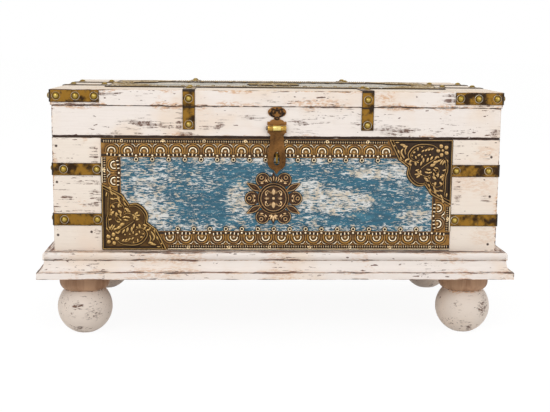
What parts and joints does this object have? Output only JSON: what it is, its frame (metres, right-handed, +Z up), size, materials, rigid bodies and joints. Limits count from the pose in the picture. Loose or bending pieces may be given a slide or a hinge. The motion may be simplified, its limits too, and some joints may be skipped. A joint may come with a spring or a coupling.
{
  "type": "storage chest",
  "caption": "Low painted wooden trunk on ball feet with stamped brass trim, nailed straps, a hinged lid, a hasp and a lid stay.",
  "frame": {"origin": "on the floor, under the middle of the chest's plan", "axes": "+X along the width to the chest's right as seen from the front, -Y towards the front, +Z up"},
  "size_m": [0.906, 0.536, 0.4805],
  "materials": {
    "painted_wood": "chalk-white paint, rubbed and chipped to the wood, with a blue painted field on the front and the lid",
    "raw_wood": "bare sawn hardwood",
    "stamped_brass": "antique stamped sheet, dark in the hollows and rubbed bright on the ridges",
    "strap_brass": "aged brown brass strap with lighter edges",
    "nail_brass": "domed brass nails, worn bright",
    "dark_iron": "oiled black iron"
  },
  "bodies": {
    "carcass": {"front_board": "painted_wood", "back_board": "painted_wood", "side_board_left": "painted_wood", "side_board_right": "painted_wood", "plinth_front": "painted_wood", "plinth_back": "painted_wood", "plinth_left": "painted_wood", "plinth_right": "painted_wood", "ball_feet": "painted_wood", "floor_board": "raw_wood", "floor_cleats": "raw_wood", "corner_blocks": "raw_wood", "front_border_top": "stamped_brass", "front_border_bottom": "stamped_brass", "front_border_left": "stamped_brass", "front_border_right": "stamped_brass", "corner_plate_lower_left": "stamped_brass", "corner_plate_upper_right": "stamped_brass", "front_rosette": "stamped_brass", "corner_strap_front_left_upper": "strap_brass", "corner_strap_front_left_lower": "strap_brass", "corner_strap_front_right_upper": "strap_brass", "corner_strap_front_right_lower": "strap_brass", "corner_straps_rear_left": "strap_brass", "corner_straps_rear_right": "strap_brass", "carcass_nails": "nail_brass", "hasp_staple": "nail_brass", "hinge_leaves_carcass": "dark_iron", "hinge_pins": "dark_iron", "stay_stud_plate": "dark_iron"},
    "lid": {"lid_top_board": "painted_wood", "lid_rail_front": "painted_wood", "lid_rail_back": "painted_wood", "lid_rail_left": "painted_wood", "lid_rail_right": "painted_wood", "lid_border_front": "stamped_brass", "lid_border_back": "stamped_brass", "lid_border_left": "stamped_brass", "lid_border_right": "stamped_brass", "lid_corner_plates": "stamped_brass", "lid_rosette": "stamped_brass", "lid_corner_bracket_front_left": "strap_brass", "lid_corner_bracket_front_right": "strap_brass", "lid_corner_brackets_rear": "strap_brass", "lid_strap_front_left": "strap_brass", "lid_strap_front_right": "strap_brass", "lid_straps_rear": "strap_brass", "lid_straps_side_left": "strap_brass", "lid_straps_side_right": "strap_brass", "lid_nails": "nail_brass", "hinge_leaves_lid": "dark_iron", "hasp_plate": "strap_brass", "hasp_pin": "dark_iron", "stay_pivot_plate": "dark_iron"},
    "hasp": {"hasp_strap": "strap_brass"},
    "lid_stay": {"stay_arm": "dark_iron"}
  },
  "joints": [
    {"name": "lid_hinge", "type": "hinge", "parent": "carcass", "child": "lid", "pos_m": [0, 0.243, 0.386], "axis": [-1, 0, 0], "range_deg": [0, 95]},
    {"name": "hasp_swing", "type": "hinge", "parent": "lid", "child": "hasp", "pos_m": [-0.003, -0.2438, 0.404], "axis": [-1, 0, 0], "range_deg": [0, 160]},
    {"name": "stay_swing", "type": "hinge", "parent": "lid", "child": "lid_stay", "pos_m": [0.399, 0.13467, 0.4051], "axis": [-1, 0, 0], "range_deg": [-48, 0]}
  ],
  "couplings": [
    {"joint": "stay_swing", "follows": "lid_hinge", "ratio": -0.5}
  ]
}
